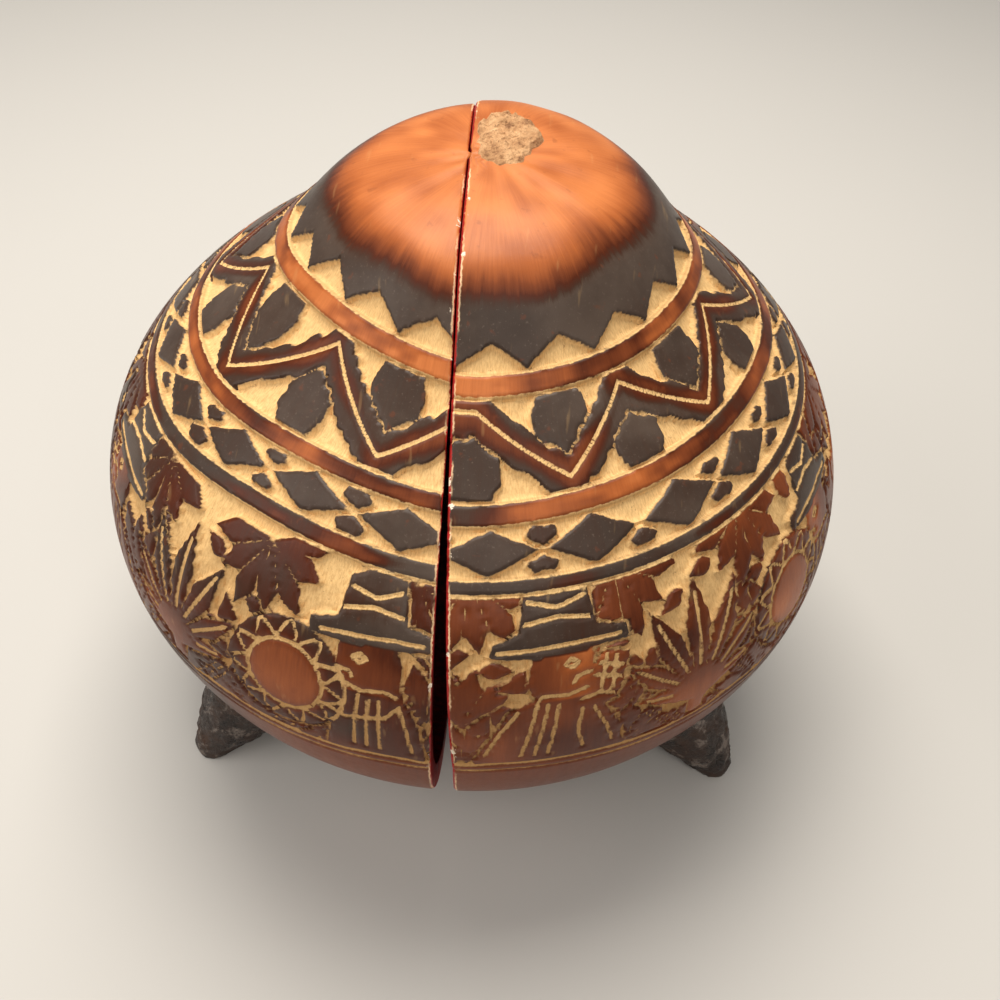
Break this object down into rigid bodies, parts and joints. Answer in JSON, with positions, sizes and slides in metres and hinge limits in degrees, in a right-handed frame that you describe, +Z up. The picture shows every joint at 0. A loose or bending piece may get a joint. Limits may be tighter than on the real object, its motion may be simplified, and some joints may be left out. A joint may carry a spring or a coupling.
{
  "type": "carved gourd box",
  "caption": "Dried gourd sawn upright into two hinged halves, carved with bands and folk figures, on three small stone-like cone feet",
  "frame": {"origin": "middle of the object's footprint on the table", "axes": "+Z up, -Y the front that the picture shows, +X to the right half"},
  "size_m": [0.1301, 0.1316, 0.1109],
  "materials": {
    "gourd": "varnished dried gourd shell, carved and scorched",
    "foot": "rough dark grey-brown stone-like cone, half glossy",
    "strap": "plain brown leather"
  },
  "bodies": {
    "left_half": {"gourd_half_left": "gourd", "foot_left": "foot", "foot_back": "foot", "hinge_strap_left": "strap"},
    "right_half": {"gourd_half_right": "gourd", "foot_right": "foot", "hinge_strap_right": "strap"}
  },
  "joints": [
    {"name": "opening", "type": "hinge", "parent": "left_half", "child": "right_half", "pos_m": [-0.0024, 0.066, 0.0515], "axis": [0, 0, 1], "range_deg": [0, 150]}
  ]
}
